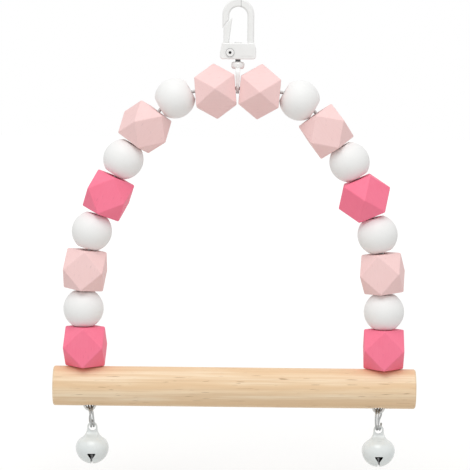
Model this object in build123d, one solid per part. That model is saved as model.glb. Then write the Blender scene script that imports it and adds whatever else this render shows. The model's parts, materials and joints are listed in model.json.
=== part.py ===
from build123d import *
import math
import os

# Bird swing: a snap hook with a swivel carries a bent wire arch that is strung with painted wooden
# beads. The wire's ends pass through a wooden perch and end in eyes, and each eye holds a split
# ring with a jingle bell. X runs along the perch, the front faces -Y and Z is up. The origin is the
# centre of the hook's round inside top, where the bar that carries the swing lies.

# Sizes shared by all pieces
OVERRUN = 2.0
RUNNING_GAP = 0.06

# Hook: hoop, nose and base block
HOOK_OPENING_WIDTH = 8.9
HOOK_OPENING_HEIGHT = 17.7
HOOP_BAR = 3.4
HOOP_CROWN = 4.1
HOOP_DEPTH = 4.4
HOOP_BEVEL = 0.7
BASE_WIDTH = 17.8
BASE_HEIGHT = 8.0
BASE_DEPTH = 7.2
BASE_CORNER = 1.6
BASE_EDGE = 0.6
BASE_SHOULDER_DROP = 2.4
PANEL_WIDTH = 6.0
PANEL_HEIGHT = 4.6
PANEL_RISE = 0.15
PANEL_RIGHT_MARGIN = 1.6
LATCH_DROP = 2.1
LATCH_ANGLE = 40
LATCH_GAP = 0.3

# Gate with its half-hollow rivet and torsion spring
GATE_DEPTH = 3.6
GATE_SIDE_GAP = 0.2
GATE_STEP = 0.6
GATE_LEAN_ANGLE = 7
GATE_EDGE = 0.4
GATE_PIVOT_IN = 5.0
GATE_PIVOT_RISE = 3.3
BARREL_RADIUS = 1.85
BARREL_GAP = 0.25
RIVET_DIAMETER = 2.2
RIVET_BORE = 1.4
RIVET_BORE_DEPTH = 4.0
RIVET_HEAD_DIAMETER = 4.2
RIVET_HEAD_RISE = 0.45
RIVET_FIT = 0.02
SPRING_WIRE = 0.4
SPRING_INNER_GAP = 0.1
SPRING_COIL_GAP = 0.5
SPRING_SIDE_GAP = 0.12
SPRING_LEG = 3.2
SPRING_TURNS = 1.5

# Swivel: stud, boss and eye
STUD_DIAMETER = 2.6
STUD_HEAD_DIAMETER = 3.6
STUD_HEAD_RISE = 0.4
STUD_HEAD_GAP = 0.05
SWIVEL_GAP = 1.2
BOSS_DIAMETER = 6.6
BOSS_HEIGHT = 3.6
BOSS_ROUND = 1.4
BOSS_BEAD_GAP = 0.65
LOOP_BORE = 6.0
LOOP_BAND = 1.7
LOOP_TOP_THICKNESS = 2.5
LOOP_BOTTOM_THICKNESS = 1.3
LOOP_EDGE = 0.35
LOOP_WIRE_GAP = 0.15
LOOP_BEAD_GAP = 0.45

# Arch wire: tangent arcs from the middle outwards, then straight legs
WIRE_DIAMETER = 1.6
CROWN_RADIUS = 130.0
CROWN_ANGLE = 11.2
SHOULDER_RADIUS = 20.0
SHOULDER_ANGLE = 40.6
SIDE_RADIUS = 264.0
SIDE_ANGLE = 8
KNEE_RADIUS = 123.0
END_EYE_ANGLE = 280
END_EYE_RISE = 0.45
END_EYE_PLAY = 0.55
END_EYE_SEAT_GAP = 0.1

# Beads: faceted ones and round ones take turns. The tables run from the top bead down. A slack share
# says how much of its play a loose bead stands off the wire, inwards or, below zero, outwards.
BEADS_PER_SIDE = 9
FACET_SIZE = 19.8
FACET_EDGE = 0.8
ROUND_DIAMETER = 20.0
ROUND_LENGTH = 17.2
ROUND_EDGE = 0.5
BEAD_HOLE_PLAY = 2.8
BEAD_HOLE_MOUTH = 0.4
BEAD_SEAT_GAP = 0.3
BEAD_GAPS = {"left": 0.325, "right": 0.2}
PERCH_BEAD_GAP = 0.2
BEAD_SLACK_SHARES = {
    "left": (1.0, -1.0, -1.0, -0.9, 1.0, -1.0, -1.0, -0.8, 0.0),
    "right": (1.0, 1.0, 1.0, -0.5, 1.0, 0.4, 1.0, 0.5, 0.4),
}
FACET_SPIN_ANGLES = {"left": (52, 68, 5, 4, 4), "right": (45, 88, 48, 12, 1)}

# Perch
PERCH_DIAMETER = 19.7
PERCH_OVERHANG = 15.6
PERCH_EDGE = 1.0
PERCH_HOLE_PLAY = 0.8
PERCH_RECESS_PLAY = 1.2

# Split rings
RING_OUTSIDE = 11.4
RING_WIRE = 0.9
RING_COIL_GAP = 0.43
RING_CROSSING_ANGLE = 60
RING_HANG_GAP = 0.25
RING_YAW_ANGLES = {"left": 8, "right": -12}
RING_LEAN_ANGLES = {"left": 7, "right": 1}

# Jingle bells and their pellets
BELL_DIAMETER = 16.5
BELL_WALL = 0.7
BELL_SHOULDER_RADIUS = 5.4
BELL_FLARE_ANGLE = 60
BELL_PINCH_ANGLE = 75
BELL_LIP = 1.0
BELL_LIP_WALL = 0.5
BELL_LIP_GAP = 0.03
BELL_TAB_WIDTH = 5.2
BELL_TAB_THICKNESS = 1.6
BELL_HOLE_PLAY = 0.65
BELL_HOLE_RISE = 10.1
BELL_HANG = 0.3
FUNNEL_WIDTH = 4.6
FUNNEL_TOP = 2.0
FUNNEL_BOTTOM = 4.95
FUNNEL_ROUND = 0.4
SLIT_WIDTH = 0.9
PELLET_DIAMETER = 6.0
PELLET_GAP = 0.3

SIDES = {"left": -1, "right": 1}

# Levels down the hook and the swivel
opening_half = HOOK_OPENING_WIDTH / 2
hoop_half = opening_half + HOOP_BAR
base_top = opening_half - HOOK_OPENING_HEIGHT
base_bottom = base_top - BASE_HEIGHT
boss_top = base_bottom - SWIVEL_GAP
boss_bottom = boss_top - BOSS_HEIGHT
bead_drop = BEAD_HOLE_PLAY / 2 - BEAD_SEAT_GAP
apex_z = boss_bottom - BOSS_BEAD_GAP - FACET_SIZE / 2 + bead_drop

# Gate pivot, slot and spring
pivot_x = GATE_PIVOT_IN - BASE_WIDTH / 2
pivot_z = base_bottom + GATE_PIVOT_RISE
slot_end_x = pivot_x + BARREL_RADIUS + BARREL_GAP
slot_floor_z = pivot_z - BARREL_RADIUS - BARREL_GAP
slot_depth = GATE_DEPTH + 2 * GATE_SIDE_GAP
spring_radius = RIVET_DIAMETER / 2 + SPRING_INNER_GAP + SPRING_WIRE / 2
spring_pitch = SPRING_WIRE + SPRING_COIL_GAP
spring_width = SPRING_TURNS * spring_pitch + SPRING_WIRE

# Split ring and the two eyes that hold it
strand_spacing = RING_WIRE + RING_COIL_GAP
strand_half_width = (strand_spacing + RING_WIRE) / 2
ring_radius = (RING_OUTSIDE - RING_WIRE) / 2
wire_radius = WIRE_DIAMETER / 2
end_eye_bore_radius = strand_half_width + END_EYE_PLAY
end_eye_radius = end_eye_bore_radius + wire_radius
strand_reach = end_eye_bore_radius - RING_WIRE / 2 - RING_HANG_GAP
strand_below_eye = math.sqrt(strand_reach**2 - (strand_spacing / 2) ** 2)

# Arch bends, from the apex outwards, as radius and angle
arch_bends = (
    (CROWN_RADIUS, CROWN_ANGLE),
    (SHOULDER_RADIUS, SHOULDER_ANGLE),
    (SIDE_RADIUS, SIDE_ANGLE),
    (KNEE_RADIUS, 90 - CROWN_ANGLE - SHOULDER_ANGLE - SIDE_ANGLE),
)


def arch_point(run):
    """Point of the right half of the wire at a run from the apex, along its centreline."""
    x = 0.0
    z = apex_z
    turn = 0.0
    for radius, bend in arch_bends:
        step = min(run, radius * math.radians(bend))
        end_turn = turn + step / radius
        x += radius * (math.sin(end_turn) - math.sin(turn))
        z -= radius * (math.cos(turn) - math.cos(end_turn))
        run -= step
        turn = end_turn
    return Vector(x, 0, z - run)


def bead_place(run, length, slack_share):
    """Centre and axis of a bead of the right half, loose on the wire at a run from the apex."""
    inner = arch_point(run - length / 2)
    outer = arch_point(run + length / 2)
    axis = (outer - inner).normalized()
    chord_middle = (inner + outer) / 2
    bow = arch_point(run) - chord_middle
    slack = max(0.0, bead_drop - bow.length / 2)
    inward = Vector(axis.Z, 0, -axis.X)
    return chord_middle + bow / 2 + inward * (slack * slack_share), axis


def gap_of_beads(facet_place, round_place):
    """Gap between a faceted bead's flat end and the rim of the round bead beside it."""
    facet_centre, facet_axis = facet_place
    round_centre, round_axis = round_place
    tilt = math.acos(min(1.0, facet_axis.dot(round_axis)))
    flat_radius = math.sqrt(ROUND_DIAMETER**2 - ROUND_LENGTH**2) / 2
    reach = ROUND_LENGTH / 2 * math.cos(tilt) + flat_radius * math.sin(tilt)
    return abs((round_centre - facet_centre).dot(facet_axis)) - FACET_SIZE / 2 - reach


def string_beads(slack_shares, wanted_gap):
    """Places of one half's beads on the right half, from the top down, each just clear of the last."""
    run = LOOP_BOTTOM_THICKNESS / 2 + LOOP_BEAD_GAP + FACET_SIZE / 2
    places = [bead_place(run, FACET_SIZE, slack_shares[0])]
    for index in range(1, BEADS_PER_SIDE):
        is_round = index % 2 == 1
        length = ROUND_LENGTH if is_round else FACET_SIZE
        low = run + ROUND_LENGTH / 2
        high = run + FACET_SIZE + ROUND_LENGTH
        for _ in range(50):
            middle = (low + high) / 2
            place = bead_place(middle, length, slack_shares[index])
            if is_round:
                gap = gap_of_beads(places[-1], place)
            else:
                gap = gap_of_beads(place, places[-1])
            if gap < wanted_gap:
                low = middle
            else:
                high = middle
        run = high
        places.append(bead_place(run, length, slack_shares[index]))
    return places


bead_places = {
    side_name: string_beads(BEAD_SLACK_SHARES[side_name], BEAD_GAPS[side_name]) for side_name in SIDES
}
lowest_z = min(places[-1][0].Z for places in bead_places.values()) - FACET_SIZE / 2
perch_z = lowest_z - PERCH_BEAD_GAP - PERCH_DIAMETER / 2
perch_underside = perch_z - PERCH_DIAMETER / 2
arch_length = sum(radius * math.radians(bend) for radius, bend in arch_bends)
arch_foot = arch_point(arch_length)
leg_x = arch_foot.X
perch_length = 2 * (leg_x + PERCH_OVERHANG)
eye_x = leg_x - end_eye_radius
end_eye_z = perch_underside + END_EYE_RISE
end_eye_top = end_eye_z + end_eye_radius + wire_radius
ring_drop = strand_below_eye + ring_radius
bell_drop = ring_drop + ring_radius
bell_hole_radius = strand_half_width + BELL_HOLE_PLAY
bell_radius = BELL_DIAMETER / 2
pellet_drop = bell_radius - BELL_WALL - PELLET_DIAMETER / 2 - PELLET_GAP


def hang_bell(side_name):
    """Place of a bell's middle, below the lowest point of its leaning ring."""
    lean = math.radians(RING_LEAN_ANGLES[side_name])
    x = SIDES[side_name] * eye_x + bell_drop * math.sin(lean)
    return x, end_eye_z - bell_drop * math.cos(lean) - BELL_HANG - BELL_HOLE_RISE


bell_places = {side_name: hang_bell(side_name) for side_name in SIDES}


def biarc(start, start_way, end, end_way):
    """Two arcs in space that join two points with given directions, tangent to each other."""
    chord = end - start
    ways = start_way + end_way
    square = 2 * (1 - start_way.dot(end_way))
    half_linear = chord.dot(ways)
    reach = chord.dot(chord) / (half_linear + math.sqrt(half_linear**2 + square * chord.dot(chord)))
    first_corner = start + start_way * reach
    second_corner = end - end_way * reach
    middle = (first_corner + second_corner) / 2
    middle_way = (second_corner - first_corner).normalized()
    return [
        Edge.make_tangent_arc(start, start_way, middle),
        Edge.make_tangent_arc(middle, middle_way, end),
    ]


def round_tube(path, diameter):
    """Round bar along a path."""
    start = Plane(origin=path @ 0, z_dir=path % 0)
    return sweep(start * Circle(diameter / 2), path=path)


def least_gap(path, diameter, loop_length):
    """Least gap of a wound wire to itself, measured on points along it."""
    count = 240
    points = [path @ (index / count) for index in range(count + 1)]
    apart = int(count * loop_length / path.length / 2)
    return min(
        (points[late] - points[early]).length - diameter
        for early in range(count + 1)
        for late in range(early + apart, count + 1)
    )


def plate(outline, depth):
    """Plate of a front outline, centred on the plane of the arch."""
    return extrude(Plane.XZ * outline, depth / 2, both=True)


def cross_bar(diameter, length, x, z):
    """Round bar along Y, centred on the plane of the arch."""
    return Pos(x, 0, z) * Rot(90, 0, 0) * Cylinder(diameter / 2, length)


def hook_body():
    """Hoop with its nose, on the base block that holds the gate's pivot and the swivel."""
    outer_arc_z = opening_half + HOOP_CROWN - hoop_half
    leg_height = outer_arc_z - base_top + BASE_HEIGHT / 2
    hoop = Pos(0, outer_arc_z - leg_height / 2) * Rectangle(2 * hoop_half, leg_height)
    hoop += Pos(0, outer_arc_z) * Circle(hoop_half)
    opening = Pos(0, base_bottom / 2) * Rectangle(HOOK_OPENING_WIDTH, -base_bottom)
    opening += Circle(opening_half)
    hoop -= opening
    lean = math.radians(LATCH_ANGLE)
    slope = math.cos(lean) / math.sin(lean)
    nose_low = -LATCH_DROP - (HOOP_BAR + OVERRUN) * slope
    nose_high = -LATCH_DROP + opening_half * slope
    mouth = make_face(
        Polyline(
            (0, nose_high),
            (-hoop_half - OVERRUN, nose_low),
            (-hoop_half - OVERRUN, base_bottom),
            (0, base_bottom),
            close=True,
        )
    )
    body = plate(hoop - mouth, HOOP_DEPTH)
    rims = body.faces().sort_by(Axis.Y)
    rim_edges = rims[0].edges() + rims[-1].edges()
    body = chamfer(rim_edges, HOOP_BEVEL)
    half = BASE_WIDTH / 2
    block = make_face(
        Polyline(
            (-hoop_half, base_top),
            (hoop_half, base_top),
            (half, base_top - BASE_SHOULDER_DROP),
            (half, base_bottom),
            (-half, base_bottom),
            (-half, pivot_z),
            close=True,
        )
    )
    low_corners = block.vertices().sort_by(Axis.Y)[:2]
    block = fillet(low_corners, BASE_CORNER)
    block = plate(block, BASE_DEPTH)
    faces = block.faces().sort_by(Axis.Y)
    block = fillet(faces[0].edges() + faces[-1].edges(), BASE_EDGE)
    body += block
    panel_x = half - PANEL_RIGHT_MARGIN - PANEL_WIDTH / 2
    panel = Box(PANEL_WIDTH, BASE_DEPTH / 2 + PANEL_RISE, PANEL_HEIGHT)
    body += Pos(panel_x, -(BASE_DEPTH / 2 + PANEL_RISE) / 2, (base_top + base_bottom) / 2) * panel
    slot_left = -half - OVERRUN
    slot_top = base_top + OVERRUN
    slot = Pos((slot_left + slot_end_x) / 2, (slot_floor_z + slot_top) / 2) * Rectangle(
        slot_end_x - slot_left, slot_top - slot_floor_z
    )
    body -= plate(slot, slot_depth)
    body -= cross_bar(RIVET_DIAMETER + 2 * RIVET_FIT, BASE_DEPTH + OVERRUN, pivot_x, pivot_z)
    stud_hole = Cylinder(STUD_DIAMETER / 2 + RUNNING_GAP, BASE_HEIGHT + 2 * OVERRUN)
    return body - Pos(0, 0, (base_top + base_bottom) / 2) * stud_hole


def hook_gate():
    """Leaning gate that closes on the nose, with a forked barrel round the rivet."""
    lean = math.radians(LATCH_ANGLE)
    slope = math.cos(lean) / math.sin(lean)
    seat_drop = LATCH_DROP + LATCH_GAP / math.sin(lean)
    tilt = math.tan(math.radians(GATE_LEAN_ANGLE))
    tip_rise = (-seat_drop - base_top) / (1 - tilt * slope)
    tip = (-opening_half + tip_rise * tilt, base_top + tip_rise)
    back_x = -hoop_half + GATE_STEP
    back_z = -seat_drop - (HOOP_BAR - GATE_STEP) * slope
    outline = make_face(
        Polyline(
            tip,
            (back_x, back_z),
            (back_x, pivot_z),
            (pivot_x + BARREL_RADIUS, pivot_z),
            (-opening_half, base_top),
            close=True,
        )
    )
    outline += Pos(pivot_x, pivot_z) * Circle(BARREL_RADIUS)
    gate = plate(outline, GATE_DEPTH)
    faces = gate.faces().sort_by(Axis.Y)
    gate = chamfer(faces[0].edges() + faces[-1].edges(), GATE_EDGE)
    groove_left = pivot_x - spring_radius - SPRING_WIRE / 2 - SPRING_SIDE_GAP
    groove_right = slot_end_x + OVERRUN
    groove_top = pivot_z + SPRING_LEG + SPRING_SIDE_GAP
    groove = Pos((groove_left + groove_right) / 2, (groove_top + slot_floor_z) / 2) * Rectangle(
        groove_right - groove_left, groove_top - slot_floor_z
    )
    gate -= plate(groove, spring_width + 2 * SPRING_SIDE_GAP)
    return gate - cross_bar(RIVET_DIAMETER + 2 * RUNNING_GAP, BASE_DEPTH, pivot_x, pivot_z)


def gate_rivet():
    """Rivet with a flat head at each end, hollow at the front."""
    rivet = cross_bar(RIVET_DIAMETER, BASE_DEPTH, pivot_x, pivot_z)
    head_y = (BASE_DEPTH + RIVET_HEAD_RISE) / 2
    for side in (-1, 1):
        head = cross_bar(RIVET_HEAD_DIAMETER, RIVET_HEAD_RISE, pivot_x, pivot_z)
        rivet += Pos(0, side * head_y, 0) * head
    front_y = -BASE_DEPTH / 2 - RIVET_HEAD_RISE
    bore = cross_bar(RIVET_BORE, 2 * RIVET_BORE_DEPTH, pivot_x, pivot_z)
    return rivet - Pos(0, front_y, 0) * bore


def gate_spring():
    """Torsion spring round the rivet, with a leg on the slot's end and one on the gate."""
    quarters = int(SPRING_TURNS * 4)
    rise = spring_pitch / (2 * math.pi * spring_radius)
    stops = []
    for quarter in range(quarters + 1):
        angle = -quarter * math.pi / 2
        y = (quarter / 4 - SPRING_TURNS / 2) * spring_pitch
        point = Vector(
            pivot_x + spring_radius * math.cos(angle), y, pivot_z + spring_radius * math.sin(angle)
        )
        wound = 0.0 if quarter in (0, quarters) else rise
        way = Vector(math.sin(angle), wound, -math.cos(angle)).normalized()
        stops.append((point, way))
    edges = [Edge.make_line(stops[0][0] + Vector(0, 0, SPRING_LEG), stops[0][0])]
    for (start, start_way), (end, end_way) in zip(stops, stops[1:]):
        edges += biarc(start, start_way, end, end_way)
    edges.append(Edge.make_line(stops[-1][0], stops[-1][0] + Vector(0, 0, SPRING_LEG)))
    path = Wire(edges)
    print("gate_spring gap", least_gap(path, SPRING_WIRE, 2 * math.pi * spring_radius))
    return round_tube(path, SPRING_WIRE)


def swivel_eye():
    """Headed stud that turns in the base, with a rounded boss and a flat tapered eye below it."""
    head_z = base_top + STUD_HEAD_GAP
    stud_length = head_z - boss_bottom
    swivel = Pos(0, 0, boss_bottom + stud_length / 2) * Cylinder(STUD_DIAMETER / 2, stud_length)
    head = Cylinder(STUD_HEAD_DIAMETER / 2, STUD_HEAD_RISE)
    head = fillet(head.edges().sort_by(Axis.Z)[-1], STUD_HEAD_RISE / 2)
    swivel += Pos(0, 0, head_z + STUD_HEAD_RISE / 2) * head
    boss = Cylinder(BOSS_DIAMETER / 2, BOSS_HEIGHT)
    boss = fillet(boss.edges().filter_by(GeomType.CIRCLE), BOSS_ROUND)
    swivel += Pos(0, 0, (boss_top + boss_bottom) / 2) * boss
    bore_radius = LOOP_BORE / 2
    outer_radius = bore_radius + LOOP_BAND
    low_z = apex_z - wire_radius - LOOP_WIRE_GAP + bore_radius
    high_z = boss_bottom + BOSS_HEIGHT / 2 - outer_radius
    loop = Pos(0, high_z) * Circle(outer_radius) + Pos(0, low_z) * Circle(outer_radius)
    loop += Pos(0, (low_z + high_z) / 2) * Rectangle(2 * outer_radius, high_z - low_z)
    hole_top = boss_bottom - bore_radius - LOOP_BAND / 2
    hole = Pos(0, hole_top) * Circle(bore_radius) + Pos(0, low_z) * Circle(bore_radius)
    hole += Pos(0, (low_z + hole_top) / 2) * Rectangle(LOOP_BORE, hole_top - low_z)
    loop = extrude(Plane.YZ * (loop - hole), LOOP_TOP_THICKNESS, both=True)
    bottom_z = low_z - outer_radius
    top_half = LOOP_TOP_THICKNESS / 2
    bottom_half = LOOP_BOTTOM_THICKNESS / 2
    taper = make_face(
        Polyline(
            (-top_half, boss_bottom + BOSS_HEIGHT / 2),
            (top_half, boss_bottom + BOSS_HEIGHT / 2),
            (bottom_half, bottom_z),
            (-bottom_half, bottom_z),
            close=True,
        )
    )
    loop = loop & plate(taper, 2 * outer_radius + OVERRUN)
    sides = loop.faces().sort_by(Axis.X)
    loop = fillet(sides[0].edges() + sides[-1].edges(), LOOP_EDGE)
    return swivel + loop


def arch_wire():
    """Bent wire arch with an eye curled inwards at each end."""
    edges = []
    point = Vector(0, apex_z)
    way = Vector(1, 0)
    for radius, bend in arch_bends:
        arc = JernArc(point, way, radius, -bend)
        edges.append(arc)
        point = arc @ 1
        way = arc % 1
    leg_end = Vector(leg_x, end_eye_z)
    edges.append(Line(point, leg_end))
    edges.append(JernArc(leg_end, (0, -1), end_eye_radius, -END_EYE_ANGLE))
    right_half = [Plane.XZ * edge for edge in edges]
    left_half = [edge.mirror(Plane.YZ) for edge in right_half]
    right_half = round_tube(Wire(right_half), WIRE_DIAMETER)
    left_half = round_tube(Wire(left_half), WIRE_DIAMETER)
    return right_half + left_half


def with_hole(bead, length):
    """Bead with its bore along Z, eased at both mouths."""
    bore_radius = wire_radius + BEAD_HOLE_PLAY / 2
    bead -= Cylinder(bore_radius, length + OVERRUN)
    mouths = bead.edges().filter_by(GeomType.CIRCLE).filter_by(
        lambda edge: abs(edge.radius - bore_radius) < RUNNING_GAP
    )
    return chamfer(mouths, BEAD_HOLE_MOUTH)


def facet_bead():
    """Cuboctahedron with eased edges: square faces on the axes, three-sided faces between them."""
    core_half = FACET_SIZE / 2 - FACET_EDGE
    core = Box(2 * core_half, 2 * core_half, 2 * core_half)
    for x in (-1, 1):
        for y in (-1, 1):
            for z in (-1, 1):
                corner_face = Plane(origin=(x * core_half, y * core_half, 0), z_dir=(x, y, z))
                core = split(core, bisect_by=corner_face, keep=Keep.BOTTOM)
    return with_hole(offset(core, FACET_EDGE, kind=Kind.ARC), FACET_SIZE)


def round_bead():
    """Ball with flat ends."""
    bead = Sphere(ROUND_DIAMETER / 2) & Cylinder(ROUND_DIAMETER, ROUND_LENGTH)
    rims = bead.edges().filter_by(GeomType.CIRCLE)
    return with_hole(fillet(rims, ROUND_EDGE), ROUND_LENGTH)


def perch():
    """Dowel with eased ends, two holes for the wire and a recess below each for its eye."""
    dowel = Rot(0, 90, 0) * Cylinder(PERCH_DIAMETER / 2, perch_length)
    dowel = fillet(dowel.edges().filter_by(GeomType.CIRCLE), PERCH_EDGE)
    dowel = Pos(0, 0, perch_z) * dowel
    hole = Cylinder((WIRE_DIAMETER + PERCH_HOLE_PLAY) / 2, PERCH_DIAMETER + OVERRUN)
    recess_top = end_eye_top + END_EYE_SEAT_GAP
    recess_bottom = perch_underside - OVERRUN
    recess_radius = end_eye_radius + wire_radius + PERCH_RECESS_PLAY / 2
    recess = Cylinder(recess_radius, recess_top - recess_bottom)
    for side in SIDES.values():
        dowel -= Pos(side * leg_x, 0, perch_z) * hole
        dowel -= Pos(side * eye_x, 0, (recess_top + recess_bottom) / 2) * recess
    return dowel


def split_ring():
    """Two turns of wire in the YZ plane that cross over once, centred on the ring's middle."""
    half_cross = math.radians(RING_CROSSING_ANGLE / 2)
    half_gap = strand_spacing / 2

    def strand_point(angle, x):
        return Vector(x, ring_radius * math.cos(angle), ring_radius * math.sin(angle))

    def strand_way(angle):
        return Vector(0, -math.sin(angle), math.cos(angle))

    far = 2 * math.pi - half_cross
    first_turn = Edge.make_three_point_arc(
        strand_point(half_cross, -half_gap),
        strand_point(math.pi, -half_gap),
        strand_point(far, -half_gap),
    )
    crossing = biarc(
        strand_point(far, -half_gap),
        strand_way(far),
        strand_point(half_cross, half_gap),
        strand_way(half_cross),
    )
    second_turn = Edge.make_three_point_arc(
        strand_point(half_cross, half_gap),
        strand_point(math.pi, half_gap),
        strand_point(far, half_gap),
    )
    path = Wire([first_turn, *crossing, second_turn])
    print("split_ring gap", least_gap(path, RING_WIRE, 2 * math.pi * ring_radius))
    return round_tube(path, RING_WIRE)


def shoulder_profile(wall):
    """Half outline of the bell's upper part, a wall's thickness inside its surface."""
    arc_x = bell_radius - BELL_SHOULDER_RADIUS
    radius = BELL_SHOULDER_RADIUS - wall
    rim = Line((0, 0), (arc_x + radius, 0))
    arc = JernArc(rim @ 1, (0, 1), radius, 90)
    lid = Line(arc @ 1, (0, radius))
    axis = Line(lid @ 1, (0, 0))
    return make_face([rim, arc, lid, axis])


def bell_upper():
    """Upper bell shell whose neck flares up from the shoulder and is pinched to a flat tab."""
    tab_half = BELL_TAB_WIDTH / 2
    half_thickness = BELL_TAB_THICKNESS / 2
    rim = Line((0, 0), (bell_radius, 0))
    shoulder = JernArc(rim @ 1, (0, 1), BELL_SHOULDER_RADIUS, BELL_FLARE_ANGLE)
    flare_start = shoulder @ 1
    flare_radius = (flare_start.X - tab_half) / (1 - math.cos(math.radians(BELL_FLARE_ANGLE)))
    flare = JernArc(flare_start, shoulder % 1, flare_radius, -BELL_FLARE_ANGLE)
    side = Line(flare @ 1, (tab_half, BELL_HOLE_RISE))
    top = JernArc(side @ 1, (0, 1), tab_half, 90)
    axis = Line(top @ 1, (0, 0))
    shell = revolve(Plane.XZ * make_face([rim, shoulder, flare, side, top, axis]), Axis.Z)
    lead = JernArc(rim @ 1, (0, 1), BELL_SHOULDER_RADIUS, BELL_PINCH_ANGLE)
    pinch_start = lead @ 1
    pinch_turn = math.radians(BELL_PINCH_ANGLE)
    pinch_radius = (pinch_start.X - half_thickness) / (1 - math.cos(pinch_turn))
    pinch = JernArc(pinch_start, lead % 1, pinch_radius, -BELL_PINCH_ANGLE)
    summit = BELL_HOLE_RISE + tab_half + OVERRUN
    face_line = Line(pinch @ 1, (half_thickness, summit))
    lid = Line(face_line @ 1, (bell_radius, summit))
    slope_drop = (bell_radius - pinch_start.X) / math.tan(pinch_turn)
    outside = Line(lid @ 1, (bell_radius, pinch_start.Y - slope_drop))
    slope = Line(outside @ 1, pinch_start)
    waste = make_face([pinch, face_line, lid, outside, slope])
    waste = extrude(Plane.YZ * waste, bell_radius, both=True)
    shell -= [waste, waste.mirror(Plane.XZ)]
    shell -= cross_bar(2 * bell_hole_radius, BELL_TAB_THICKNESS + OVERRUN, 0, BELL_HOLE_RISE)
    return shell - revolve(Plane.XZ * shoulder_profile(BELL_WALL), Axis.Z)


def bell_lower():
    """Lower bell shell with a lip inside the upper one, two funnel holes and the slit that joins them."""
    shell = Sphere(bell_radius) & Pos(0, 0, -bell_radius) * Cylinder(bell_radius, BELL_DIAMETER)
    plug = revolve(Plane.XZ * shoulder_profile(BELL_WALL + BELL_LIP_GAP), Axis.Z)
    shell += plug & Cylinder(bell_radius, 2 * BELL_LIP)
    lip_bore = bell_radius - BELL_WALL - BELL_LIP_GAP - BELL_LIP_WALL
    shell -= Sphere(bell_radius - BELL_WALL) & Cylinder(lip_bore, 2 * BELL_DIAMETER)
    funnel_half = FUNNEL_WIDTH / 2
    slit_half = SLIT_WIDTH / 2
    funnel = make_face(
        Polyline(
            (-funnel_half, -FUNNEL_TOP),
            (funnel_half, -FUNNEL_TOP),
            (slit_half, -FUNNEL_BOTTOM),
            (slit_half, -BELL_DIAMETER),
            (-slit_half, -BELL_DIAMETER),
            (-slit_half, -FUNNEL_BOTTOM),
            close=True,
        )
    )
    rounded = funnel.vertices().filter_by(lambda corner: corner.Y > -BELL_DIAMETER / 2)
    return shell - plate(fillet(rounded, FUNNEL_ROUND), 2 * BELL_DIAMETER)


ball = Sphere(PELLET_DIAMETER / 2)
facet = facet_bead()
ball_bead = round_bead()
nodes = {
    "hook_body": hook_body(),
    "hook_gate": hook_gate(),
    "gate_rivet": gate_rivet(),
    "gate_spring": gate_spring(),
    "swivel_eye": swivel_eye(),
    "arch_wire": arch_wire(),
    "perch": perch(),
}
ring = split_ring()
upper = bell_upper()
lower = bell_lower()

for side_name, side in SIDES.items():
    spins = iter(FACET_SPIN_ANGLES[side_name])
    for index, (centre, axis) in enumerate(bead_places[side_name]):
        is_round = index % 2 == 1
        place = Plane(
            origin=(side * centre.X, 0, centre.Z), x_dir=(0, -1, 0), z_dir=(side * axis.X, 0, axis.Z)
        )
        bead = ball_bead if is_round else Rot(0, 0, next(spins)) * facet
        nodes[f"{side_name}_bead_{BEADS_PER_SIDE - index}"] = place * bead
    bell_x, bell_z = bell_places[side_name]
    lean = Rot(0, -RING_LEAN_ANGLES[side_name], 0)
    yaw = Rot(0, 0, RING_YAW_ANGLES[side_name])
    nodes[f"{side_name}_split_ring"] = (
        Pos(side * eye_x, 0, end_eye_z) * lean * Pos(0, 0, -ring_drop) * yaw * ring
    )
    nodes[f"{side_name}_bell_upper"] = Pos(bell_x, 0, bell_z) * upper
    nodes[f"{side_name}_bell_lower"] = Pos(bell_x, 0, bell_z) * lower
    nodes[f"{side_name}_bell_pellet"] = Pos(bell_x, 0, bell_z - pellet_drop) * ball

os.makedirs("parts", exist_ok=True)
for name, solid in nodes.items():
    export_step(solid, f"parts/{name}.step")
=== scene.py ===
import json
import math

import bpy
from mathutils import Matrix, Vector


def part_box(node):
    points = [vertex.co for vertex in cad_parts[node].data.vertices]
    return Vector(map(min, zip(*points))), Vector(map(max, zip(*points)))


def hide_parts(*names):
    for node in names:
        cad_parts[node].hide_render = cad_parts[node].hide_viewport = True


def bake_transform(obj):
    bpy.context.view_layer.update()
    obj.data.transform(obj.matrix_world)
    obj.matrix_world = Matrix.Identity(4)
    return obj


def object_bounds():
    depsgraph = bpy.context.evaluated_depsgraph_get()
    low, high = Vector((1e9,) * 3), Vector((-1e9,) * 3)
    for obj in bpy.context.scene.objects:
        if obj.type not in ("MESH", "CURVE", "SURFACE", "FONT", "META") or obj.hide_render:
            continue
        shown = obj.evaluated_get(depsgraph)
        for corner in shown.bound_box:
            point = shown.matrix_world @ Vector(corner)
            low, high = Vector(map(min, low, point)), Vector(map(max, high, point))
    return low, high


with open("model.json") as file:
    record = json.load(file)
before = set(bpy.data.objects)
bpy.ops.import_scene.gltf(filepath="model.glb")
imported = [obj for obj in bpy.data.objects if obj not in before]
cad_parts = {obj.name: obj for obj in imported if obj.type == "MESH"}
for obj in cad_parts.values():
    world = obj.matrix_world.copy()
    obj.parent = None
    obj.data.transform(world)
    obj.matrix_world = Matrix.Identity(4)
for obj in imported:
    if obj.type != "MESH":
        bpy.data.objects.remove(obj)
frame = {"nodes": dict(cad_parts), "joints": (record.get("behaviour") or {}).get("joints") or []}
cad_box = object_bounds()
nodes = frame["nodes"]
joints = {joint["name"]: joint for joint in frame["joints"]}

ORIGIN = (0.0, 0.0, 0.0)
UP = (0.0, 0.0, 1.0)
BACKWARDS = (0.0, 1.0, 0.0)
MILLIMETRE = 0.001

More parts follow.
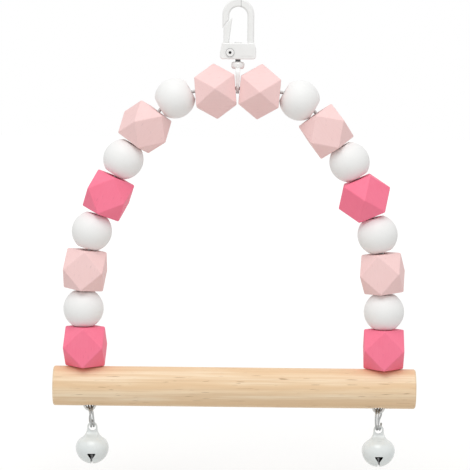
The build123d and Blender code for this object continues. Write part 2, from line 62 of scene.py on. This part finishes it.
# Camera: distance, height angle, roll and what the picture takes in, in metres and degrees
CAMERA_DISTANCE = 1.15
CAMERA_ELEVATION = 5.0
CAMERA_ROLL = 0.62
CAMERA_NEAREST = 0.01
VIEW_WIDTH = 0.2329
VIEW_CENTRE = (-0.0005, 0.0, -0.1081)

# Light: a dome that is brightest above and darkest at the left and right, and a soft lamp in front
SKY_TOP = 0.86
SKY_LEVEL = 0.78
SKY_SIDE = 0.42
SKY_SIDE_RANGE = (0.4, 1.0)
SKY_TOP_RANGE = (0.0, 0.9)
SKY_COLOUR = (1.0, 1.0, 1.0, 1.0)
BACKGROUND_LEVEL = 1.0
KEY_PLACE = (-0.12, -0.85, 1.25)
KEY_SIZE = 1.0
KEY_POWER = 10.0

# Floor: pale, and lifted towards white with the distance from its middle, in metres
FLOOR_DROP = 0.02
FLOOR_SIZE = 8.0
FLOOR_COLOUR = (0.72, 0.72, 0.71, 1.0)
FLOOR_LIFT_NEAR = 0.25
FLOOR_LIFT_FAR = 0.48
FLOOR_LIFT_REACH = 1.5

# Beads: paints as plain, darker and lighter, by place on the string, counted from the perch up
SIDES = ("left", "right")
BEADS_PER_SIDE = 9
DEEP_PINK = ((0.95, 0.2, 0.312), (0.93, 0.184, 0.292), (0.96, 0.22, 0.334))
PALE_PINK = ((0.90, 0.625, 0.61), (0.885, 0.603, 0.588), (0.91, 0.645, 0.632))
WHITE = ((0.86, 0.86, 0.85), (0.85, 0.85, 0.84), (0.87, 0.87, 0.86))
BEAD_PAINTS = {1: DEEP_PINK, 3: PALE_PINK, 5: DEEP_PINK, 7: PALE_PINK, 9: PALE_PINK}

# Bead surface: roughness and strength of the pores, then noise in millimetres with the hole along Z
FACET_FINISH = (0.58, 0.45)
ROUND_FINISH = (0.5, 0.1)
GRAIN_STRETCH = (1.0, 1.0, 0.08)
GRAIN_SEED_STEP = (7.3, 3.1, 1.0)
GRAIN_SCALE = 1.6
GRAIN_STOPS = (0.25, 0.55, 0.85)
GRAIN_ROUGH_RANGE = (0.3, 0.7)
GRAIN_SMOOTHER = 0.05
GRAIN_ROUGHER = 0.06
BLOTCH_STRETCH = (1.0, 1.0, 1.0)
BLOTCH_SEED_STEP = (1.0, 5.7, 2.3)
BLOTCH_SCALE = 0.12
BLOTCH_RANGE = (0.35, 0.7)
BLOTCH_STRENGTH = 0.5
PORE_STRETCH = (1.7, 1.7, 0.3)
PORE_SEED_STEP = (2.9, 1.0, 4.1)
PORE_RANGE = (0.66, 0.74)
PORE_SHADE = 0.72
SPECK_SCALE = 9.0
BEAD_BUMP = 0.08
BEAD_BUMP_DEPTH = 0.00005
BEAD_SPECULAR = 0.35

# Pine of the perch, in millimetres: growth bands about a pith above the dowel, streaks, fibres, flecks
BAND_SPACING = 8.0
WAVE_LENGTH = math.tau / 20  # of Blender's wave texture at a scale of 1
PITH_SHIFT = (0.0, 6.0, -45.0)
ACROSS_GRAIN = (0.0, 1.0, 1.0)
BAND_DISTORTION = 0.5
BAND_DETAIL_SCALE = 0.4
WAVER_STRETCH = (0.016, 0.05, 0.05)
WAVER_MIDDLE = (0.5, 0.5, 0.5)
WAVER_REACH = (0.0, 9.0, 9.0)
PINE_STOPS = (
    (0.0, (0.905, 0.735, 0.525)),
    (0.55, (0.885, 0.69, 0.47)),
    (1.0, (0.815, 0.58, 0.355)),
)
STREAK_STRETCH = (0.02, 0.55, 0.55)
STREAK_SHIFT = (9.0, 4.0, 2.0)
STREAK_RANGE = (0.42, 0.64)
STREAK_STRENGTH = 0.75
STREAK_COLOUR = (0.80, 0.575, 0.355)
FIBRE_STRETCH = (0.018, 1.1, 1.1)
FIBRE_ROUGHNESS = 0.7
FIBRE_RANGE = (0.48, 0.64)
FIBRE_STRENGTH = 0.6
FIBRE_COLOUR = (0.73, 0.515, 0.315)
FLECK_STRETCH = (0.11, 1.8, 1.8)
FLECK_SHIFT = (3.0, 1.0, 7.0)
FLECK_RANGE = (0.69, 0.75)
FLECK_STRENGTH = 0.75
FLECK_COLOUR = (0.42, 0.26, 0.14)
PINE_ROUGH_RANGE = (0.3, 0.7)
PINE_ROUGHNESS = (0.5, 0.68)
PINE_BUMP = 0.15
PINE_BUMP_DEPTH = 0.00008
PINE_SPECULAR = 0.3

# Enamel of the hook and the bells
HOOK_WHITE = ((0.84, 0.84, 0.83), (0.87, 0.87, 0.86))
BELL_WHITE = ((0.74, 0.78, 0.775), (0.775, 0.81, 0.805))
PEEL_SCALE = 1.1
PEEL_BUMP = 0.06
PEEL_DEPTH = 0.00012
ENAMEL_CLOUD_SCALE = 0.16
ENAMEL_ROUGHNESS = (0.2, 0.29)
COAT_WEIGHT = 0.3
COAT_ROUGHNESS = 0.14
CLOUD_RANGE = (0.3, 0.7)

# Dark places in the enamel: the casting's seam, and painted shade round the rivet's heads, in its bore, on
# the swivel's shank and inside the bells, with the sizes of the solids that they follow, in millimetres
SEAM_PLACE = 1.3
SEAM_HALF_WIDTH = 0.11
SEAM_RISE = (3.6, 4.2)
SEAM_STRENGTH = 0.75
SEAM_COLOUR = (0.20, 0.20, 0.20)
RIM_SHADE_WIDTH = 0.2
RIM_SHADE_COLOUR = (0.30, 0.30, 0.30)
LINE_SOFTNESS = 0.05
RIVET_BORE_RADIUS = 0.7
BORE_MARGIN = 0.03
BORE_SOFTNESS = 0.02
BORE_SHADE_COLOUR = (0.012, 0.012, 0.013)
SHANK_START = (0.0, 0.06)
NECK_HEIGHT = 1.25
SHANK_SHADE_COLOUR = (0.1, 0.1, 0.1)
BELL_RADIUS = 8.25
BELL_SHOULDER_RADIUS = 5.4
PAINT_DEPTH = 0.1
PAINT_SOFTNESS = 0.03
BELL_INSIDE_SHADE_COLOUR = (0.02, 0.021, 0.022)

# Metals: darkest and lightest colour, range of roughness and scale of the clouds per millimetre
NICKEL = {"colours": ((0.36, 0.37, 0.37), (0.50, 0.51, 0.51)), "roughness": (0.32, 0.46), "scale": 0.9}
GALVANISED = {"colours": ((0.60, 0.60, 0.59), (0.74, 0.74, 0.73)), "roughness": (0.55, 0.7), "scale": 0.6}
SPRING_STEEL = {"colours": ((0.30, 0.30, 0.31), (0.42, 0.42, 0.43)), "roughness": (0.25, 0.4), "scale": 1.2}
PELLET_STEEL = {"colours": ((0.30, 0.30, 0.31), (0.42, 0.42, 0.43)), "roughness": (0.3, 0.45), "scale": 0.5}
MARKS_PER_CLOUD = 9
METAL_BUMP = 0.08
METAL_BUMP_DEPTH = 0.00004

# Gate spring in metres: its wire, and how much shorter its front leg is to clear the opened gate
SPRING_WIRE = 0.0004
FRONT_LEG_CUT = 0.00045


def put(tree, kind, inputs=None, **settings):
    """Adds a shader node, sets its properties, and links or fills its inputs."""
    made = tree.nodes.new(kind)
    for key, value in settings.items():
        setattr(made, key, value)
    for key, value in (inputs or {}).items():
        socket = made.inputs[key]
        if isinstance(value, bpy.types.NodeSocket):
            tree.links.new(value, socket)
        else:
            socket.default_value = value
    return made


def new_material(name):
    """Node material with its tree and its main shader."""
    material = bpy.data.materials.new(name)
    material.use_nodes = True
    tree = material.node_tree
    return material, tree, tree.nodes["Principled BSDF"]


def dress(name, material):
    """Gives a CAD node its material."""
    mesh = nodes[name].data
    mesh.materials.clear()
    mesh.materials.append(material)


def local_place(tree, centre=ORIGIN, axis=UP):
    """Coordinates in millimetres about a centre, with Z along an axis."""
    place = put(tree, "ShaderNodeTexCoord").outputs["Object"]
    turn = Vector(UP).rotation_difference(Vector(axis)).to_euler()
    scale = (MILLIMETRE, MILLIMETRE, MILLIMETRE)
    inputs = {"Vector": place, "Location": Vector(centre), "Rotation": turn, "Scale": scale}
    return put(tree, "ShaderNodeMapping", inputs, vector_type="TEXTURE").outputs["Vector"]


def stretched(tree, place, scale, shift=ORIGIN):
    """Coordinates scaled along their axes and then shifted."""
    inputs = {"Vector": place, "Scale": scale, "Location": shift}
    return put(tree, "ShaderNodeMapping", inputs).outputs["Vector"]


def axes_of(tree, place):
    """X, Y and Z of coordinates."""
    return put(tree, "ShaderNodeSeparateXYZ", {0: place}).outputs


def noise(tree, place, scale=1.0, detail=3.0, rough=0.5, output="Fac"):
    """Soft noise from about 0 to 1, as a value or a colour."""
    inputs = {"Vector": place, "Scale": scale, "Detail": detail, "Roughness": rough}
    return put(tree, "ShaderNodeTexNoise", inputs).outputs[output]


def ramp(tree, value, stops):
    """Colour ramp from (position, colour) stops."""
    made = put(tree, "ShaderNodeValToRGB", {"Fac": value})
    elements = made.color_ramp.elements
    while len(elements) < len(stops):
        elements.new(0.5)
    for element, (position, colour) in zip(elements, stops):
        element.position = position
        element.color = (*colour, 1.0)
    return made.outputs["Color"]


def remap(tree, value, taken, given):
    """Value taken from one range to another, and held at the ends."""
    inputs = {
        "Value": value,
        "From Min": taken[0],
        "From Max": taken[1],
        "To Min": given[0],
        "To Max": given[1],
    }
    return put(tree, "ShaderNodeMapRange", inputs).outputs["Result"]


def mixed(tree, factor, first, second):
    """Colour between two colours, each a socket or three numbers."""
    made = put(tree, "ShaderNodeMix", data_type="RGBA")
    tree.links.new(factor, made.inputs[0])
    for socket, value in ((made.inputs[6], first), (made.inputs[7], second)):
        if isinstance(value, bpy.types.NodeSocket):
            tree.links.new(value, socket)
        else:
            socket.default_value = (*value, 1.0)
    return made.outputs[2]


def bump(tree, shader, height, strength, depth):
    """Roughens a shader's surface by a height."""
    inputs = {"Height": height, "Strength": strength, "Distance": depth}
    normal = put(tree, "ShaderNodeBump", inputs).outputs["Normal"]
    tree.links.new(normal, shader.inputs["Normal"])


def math_of(tree, operation, first, second=0.0):
    """Result of a sum, product or other operation on one or two values."""
    return put(tree, "ShaderNodeMath", {0: first, 1: second}, operation=operation).outputs[0]


def vector_of(tree, operation, first, second):
    """Result of an operation on two vectors."""
    return put(tree, "ShaderNodeVectorMath", {0: first, 1: second}, operation=operation).outputs[0]


def squares(tree, first, second):
    """Sum of the squares of two values."""
    first_square = math_of(tree, "POWER", first, 2.0)
    return math_of(tree, "ADD", first_square, math_of(tree, "POWER", second, 2.0))


def inside(tree, value, edge, softness):
    """One below an edge and zero above it, with a soft step."""
    return remap(tree, value, (edge - softness, edge + softness), (1.0, 0.0))


def painted_bead(name, paint, finish, hole, seed):
    """Matte paint on turned wood, with the grain and open pores faintly through it along the hole."""
    material, tree, shader = new_material(name)
    plain, dark, light = paint
    roughness, pore_strength = finish

    def seeded(stretch, steps):
        return stretched(tree, place, stretch, tuple(seed * step for step in steps))

    place = local_place(tree, hole["pos_m"], hole["axis"])
    grain = noise(tree, seeded(GRAIN_STRETCH, GRAIN_SEED_STEP), GRAIN_SCALE, detail=4.0)
    blotch = noise(tree, seeded(BLOTCH_STRETCH, BLOTCH_SEED_STEP), BLOTCH_SCALE, detail=2.0)
    pore = noise(tree, seeded(PORE_STRETCH, PORE_SEED_STEP), detail=2.0)
    speck = noise(tree, place, SPECK_SCALE, detail=2.0)
    tone = ramp(tree, grain, tuple(zip(GRAIN_STOPS, (dark, plain, light))))
    tone = mixed(tree, remap(tree, blotch, BLOTCH_RANGE, (0.0, BLOTCH_STRENGTH)), tone, light)
    pit = tuple(channel * PORE_SHADE for channel in dark)
    tone = mixed(tree, remap(tree, pore, PORE_RANGE, (0.0, pore_strength)), tone, pit)
    tree.links.new(tone, shader.inputs["Base Color"])
    rough_ends = (roughness - GRAIN_SMOOTHER, roughness + GRAIN_ROUGHER)
    tree.links.new(remap(tree, grain, GRAIN_ROUGH_RANGE, rough_ends), shader.inputs["Roughness"])
    bump(tree, shader, math_of(tree, "ADD", grain, speck), BEAD_BUMP, BEAD_BUMP_DEPTH)
    shader.inputs["Specular IOR Level"].default_value = BEAD_SPECULAR
    return material


def growth_bands(tree, place):
    """Wavering growth bands of wood that runs along X."""
    waver = noise(tree, stretched(tree, place, WAVER_STRETCH), output="Color")
    waver = vector_of(tree, "SUBTRACT", waver, WAVER_MIDDLE)
    waver = vector_of(tree, "MULTIPLY", waver, WAVER_REACH)
    bent = vector_of(tree, "ADD", place, waver)
    inputs = {
        "Vector": stretched(tree, bent, ACROSS_GRAIN, PITH_SHIFT),
        "Scale": WAVE_LENGTH / BAND_SPACING,
        "Distortion": BAND_DISTORTION,
        "Detail": 2.0,
        "Detail Scale": BAND_DETAIL_SCALE,
    }
    bands = put(tree, "ShaderNodeTexWave", inputs, wave_type="RINGS", rings_direction="X")
    return bands.outputs["Fac"]


def pine(name, centre):
    """Bare pine cut along the grain: soft growth bands, streaks, fibres and dark flecks."""
    material, tree, shader = new_material(name)
    place = local_place(tree, centre)
    bands = growth_bands(tree, place)
    fibre = noise(tree, stretched(tree, place, FIBRE_STRETCH), detail=4.0, rough=FIBRE_ROUGHNESS)
    streak = noise(tree, stretched(tree, place, STREAK_STRETCH, STREAK_SHIFT))
    fleck = noise(tree, stretched(tree, place, FLECK_STRETCH, FLECK_SHIFT), detail=1.0)
    tone = ramp(tree, bands, PINE_STOPS)
    tone = mixed(tree, remap(tree, streak, STREAK_RANGE, (0.0, STREAK_STRENGTH)), tone, STREAK_COLOUR)
    tone = mixed(tree, remap(tree, fibre, FIBRE_RANGE, (0.0, FIBRE_STRENGTH)), tone, FIBRE_COLOUR)
    tone = mixed(tree, remap(tree, fleck, FLECK_RANGE, (0.0, FLECK_STRENGTH)), tone, FLECK_COLOUR)
    tree.links.new(tone, shader.inputs["Base Color"])
    tree.links.new(remap(tree, fibre, PINE_ROUGH_RANGE, PINE_ROUGHNESS), shader.inputs["Roughness"])
    bump(tree, shader, math_of(tree, "SUBTRACT", fibre, bands), PINE_BUMP, PINE_BUMP_DEPTH)
    shader.inputs["Specular IOR Level"].default_value = PINE_SPECULAR
    return material


def enamel(name, whites):
    """Glossy enamel with a soft orange-peel surface, and its tree, shader and colour."""
    material, tree, shader = new_material(name)
    place = local_place(tree)
    peel = noise(tree, place, PEEL_SCALE, detail=2.0)
    cloud = noise(tree, place, ENAMEL_CLOUD_SCALE, detail=2.0)
    tone = ramp(tree, cloud, tuple(zip(CLOUD_RANGE, whites)))
    tree.links.new(tone, shader.inputs["Base Color"])
    tree.links.new(remap(tree, cloud, CLOUD_RANGE, ENAMEL_ROUGHNESS), shader.inputs["Roughness"])
    bump(tree, shader, peel, PEEL_BUMP, PEEL_DEPTH)
    shader.inputs["Coat Weight"].default_value = COAT_WEIGHT
    shader.inputs["Coat Roughness"].default_value = COAT_ROUGHNESS
    return material, tree, shader, tone


def shade(tree, shader, tone, factor, colour):
    """Paints a place of a shader in another colour."""
    tree.links.new(mixed(tree, factor, tone, colour), shader.inputs["Base Color"])


def hook_enamel():
    """White enamel with the parting seam of the casting over the hoop's crown."""
    material, tree, shader, tone = enamel("hook_enamel", HOOK_WHITE)
    axes = axes_of(tree, local_place(tree))
    off_seam = math_of(tree, "ABSOLUTE", math_of(tree, "SUBTRACT", axes["X"], SEAM_PLACE))
    on_crown = remap(tree, axes["Z"], SEAM_RISE, (0.0, SEAM_STRENGTH))
    seam = math_of(tree, "MULTIPLY", inside(tree, off_seam, SEAM_HALF_WIDTH, LINE_SOFTNESS), on_crown)
    shade(tree, shader, tone, seam, SEAM_COLOUR)
    return material


def rivet_enamel(pivot, head_radius):
    """White enamel on the rivet's heads, with painted shade: a near-black bore and a grey line round each
    head's rim.
    """
    material, tree, shader, tone = enamel("rivet_enamel", HOOK_WHITE)
    axes = axes_of(tree, local_place(tree, pivot, BACKWARDS))
    off_axis = math_of(tree, "SQRT", squares(tree, axes["X"], axes["Y"]))
    # Painted shade: the outermost band of each head is grey, as shade where the head meets the hook
    on_head = inside(tree, off_axis, head_radius - RIM_SHADE_WIDTH, LINE_SOFTNESS)
    tone = mixed(tree, on_head, RIM_SHADE_COLOUR, tone)
    # Painted shade: the bore is near black, as the shade inside the hole
    bore_shade = inside(tree, off_axis, RIVET_BORE_RADIUS + BORE_MARGIN, BORE_SOFTNESS)
    shade(tree, shader, tone, bore_shade, BORE_SHADE_COLOUR)
    return material


def swivel_enamel(boss_top):
    """White enamel on the eye and its boss, with painted shade: a dark shank in the gap under the hook."""
    material, tree, shader, tone = enamel("swivel_enamel", HOOK_WHITE)
    height = axes_of(tree, local_place(tree, boss_top))["Z"]
    # Painted shade: the shank between the boss and the hook is dark, as the shade in the gap
    above_boss = remap(tree, height, SHANK_START, (0.0, 1.0))
    shank_shade = math_of(tree, "MULTIPLY", above_boss, inside(tree, height, NECK_HEIGHT, LINE_SOFTNESS))
    shade(tree, shader, tone, shank_shade, SHANK_SHADE_COLOUR)
    return material


def bell_enamel(name, middle, is_upper):
    """Cool white enamel outside, with painted shade: the inside and the cut edges are near black."""
    material, tree, shader, tone = enamel(name, BELL_WHITE)
    axes = axes_of(tree, local_place(tree, middle))
    # Painted shade: everything below the enamel's outer surface, the inside and the cut edges, is near black
    off_axis_square = squares(tree, axes["X"], axes["Y"])
    surface = BELL_RADIUS
    if is_upper:
        off_axis = math_of(tree, "SQRT", off_axis_square)
        off_shoulder = math_of(tree, "SUBTRACT", off_axis, BELL_RADIUS - BELL_SHOULDER_RADIUS)
        off_axis_square = math_of(tree, "POWER", math_of(tree, "MAXIMUM", off_shoulder, 0.0), 2.0)
        surface = BELL_SHOULDER_RADIUS
    height_square = math_of(tree, "POWER", axes["Z"], 2.0)
    reach = math_of(tree, "SQRT", math_of(tree, "ADD", off_axis_square, height_square))
    inside_shade = inside(tree, reach, surface - PAINT_DEPTH, PAINT_SOFTNESS)
    shade(tree, shader, tone, inside_shade, BELL_INSIDE_SHADE_COLOUR)
    return material


def metal(name, colours, roughness, scale):
    """Bare or plated metal with fine drawing marks and uneven shine."""
    material, tree, shader = new_material(name)
    place = local_place(tree)
    cloud = noise(tree, place, scale)
    marks = noise(tree, place, scale * MARKS_PER_CLOUD, detail=2.0)
    tone = ramp(tree, cloud, tuple(zip(CLOUD_RANGE, colours)))
    tree.links.new(tone, shader.inputs["Base Color"])
    tree.links.new(remap(tree, cloud, CLOUD_RANGE, roughness), shader.inputs["Roughness"])
    bump(tree, shader, marks, METAL_BUMP, METAL_BUMP_DEPTH)
    shader.inputs["Metallic"].default_value = 1.0
    return material


def shown_rays(tree):
    """One for rays from the camera, off metal and through glass, and zero for other rays."""
    rays = put(tree, "ShaderNodeLightPath").outputs
    shown = math_of(tree, "MAXIMUM", rays["Is Camera Ray"], rays["Is Glossy Ray"])
    return math_of(tree, "MAXIMUM", shown, rays["Is Transmission Ray"])


def floor_matte():
    """Pale matte floor that keeps its shadows and is lifted towards white where it shows."""
    material, tree, _ = new_material("floor")
    tree.nodes.clear()
    place = put(tree, "ShaderNodeTexCoord").outputs["Object"]
    spread = put(tree, "ShaderNodeVectorMath", {0: place}, operation="LENGTH").outputs["Value"]
    lift = remap(tree, spread, (0.0, FLOOR_LIFT_REACH), (FLOOR_LIFT_NEAR, FLOOR_LIFT_FAR))
    lift = math_of(tree, "MULTIPLY", shown_rays(tree), lift)
    glow = put(tree, "ShaderNodeEmission", {"Strength": lift}).outputs[0]
    matte = put(tree, "ShaderNodeBsdfDiffuse", {"Color": FLOOR_COLOUR}).outputs[0]
    both = put(tree, "ShaderNodeAddShader", {0: matte, 1: glow}).outputs[0]
    put(tree, "ShaderNodeOutputMaterial", {"Surface": both})
    return material


def studio_world():
    """Soft studio dome, white where it shows."""
    world = bpy.data.worlds.new("studio")
    world.use_nodes = True
    tree = world.node_tree
    tree.nodes.clear()
    way = axes_of(tree, put(tree, "ShaderNodeTexCoord").outputs["Generated"])
    sideways = math_of(tree, "ABSOLUTE", way["X"])
    level = remap(tree, sideways, SKY_SIDE_RANGE, (SKY_LEVEL, SKY_SIDE))
    level = remap(tree, way["Z"], SKY_TOP_RANGE, (level, SKY_TOP))
    strength = remap(tree, shown_rays(tree), (0.0, 1.0), (level, BACKGROUND_LEVEL))
    sky = put(tree, "ShaderNodeBackground", {"Color": SKY_COLOUR, "Strength": strength}).outputs[0]
    put(tree, "ShaderNodeOutputWorld", {"Surface": sky})
    return world


# Beads and bells
for side_index, side in enumerate(SIDES):
    for number in range(1, BEADS_PER_SIDE + 1):
        name = f"{side}_bead_{number}"
        finish = ROUND_FINISH if number % 2 == 0 else FACET_FINISH
        seed = float(number + BEADS_PER_SIDE * side_index)
        paint = BEAD_PAINTS.get(number, WHITE)
        dress(name, painted_bead(f"paint_{name}", paint, finish, joints[f"{name}_spin"], seed))
    bell_middle = joints[f"{side}_pellet_roll"]["pos_m"]
    for shell in ("bell_upper", "bell_lower"):
        name = f"{side}_{shell}"
        dress(name, bell_enamel(f"enamel_{name}", bell_middle, shell == "bell_upper"))

# Hook and swivel
pivot = joints["gate_pivot"]["pos_m"]
rivet_low, rivet_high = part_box("gate_rivet")
dress("hook_body", hook_enamel())
dress("hook_gate", enamel("gate_enamel", HOOK_WHITE)[0])
dress("gate_rivet", rivet_enamel(pivot, (rivet_high.x - rivet_low.x) / 2 / MILLIMETRE))
dress("swivel_eye", swivel_enamel(joints["swivel_turn"]["pos_m"]))
dress("gate_spring", metal("spring_steel", **SPRING_STEEL))

# Perch, wire, rings and pellets
perch_low, perch_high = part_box("perch")
dress("perch", pine("pine", (perch_low + perch_high) / 2))
dress("arch_wire", metal("galvanised", **GALVANISED))
nickel = metal("nickel", **NICKEL)
pellet_steel = metal("pellet_steel", **PELLET_STEEL)
for side in SIDES:
    dress(f"{side}_split_ring", nickel)
    dress(f"{side}_bell_pellet", pellet_steel)

for node in nodes.values():
    node.data.shade_smooth()

# Gate spring: its front leg stays in the hook, its rear leg goes with the gate and its coil winds up between
spring_low, spring_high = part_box("gate_spring")
coil = bpy.data.objects.new("gate_spring_coil", nodes["gate_spring"].data.copy())
bpy.context.scene.collection.objects.link(coil)
for vertex in coil.data.vertices:
    if vertex.co.y < 0.0 and vertex.co.z > spring_high.z - SPRING_WIRE:
        vertex.co.z -= FRONT_LEG_CUT
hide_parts("gate_spring")
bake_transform(coil)

# Floor
bpy.ops.mesh.primitive_plane_add(size=FLOOR_SIZE, location=(0, 0, cad_box[0][2] - FLOOR_DROP))
floor = bpy.context.object
floor.name = "floor"
floor.data.materials.append(floor_matte())

# Light
bpy.context.scene.world = studio_world()
key_data = bpy.data.lights.new("key", "AREA")
key_data.size = KEY_SIZE
key_data.energy = KEY_POWER
key = bpy.data.objects.new("key", key_data)
key.location = KEY_PLACE
aim = Vector(VIEW_CENTRE) - Vector(KEY_PLACE)
key.rotation_euler = aim.to_track_quat("-Z", "Y").to_euler()
key.visible_camera = False
bpy.context.scene.collection.objects.link(key)

# Camera
elevation = math.radians(CAMERA_ELEVATION)
back = Vector((0.0, -math.cos(elevation), math.sin(elevation)))
camera_data = bpy.data.cameras.new("camera")
camera_data.sensor_fit = "HORIZONTAL"
camera_data.angle = 2 * math.atan(VIEW_WIDTH / 2 / CAMERA_DISTANCE)
camera_data.clip_start = CAMERA_NEAREST
camera = bpy.data.objects.new("camera", camera_data)
stand = Matrix.Translation(Vector(VIEW_CENTRE) + back * CAMERA_DISTANCE)
turn = (-back).to_track_quat("-Z", "Y").to_matrix().to_4x4()
roll = Matrix.Rotation(math.radians(CAMERA_ROLL), 4, "Z")
camera.matrix_world = stand @ turn @ roll
bpy.context.scene.collection.objects.link(camera)
bpy.context.scene.camera = camera
bpy.context.scene.view_settings.view_transform = "Standard"
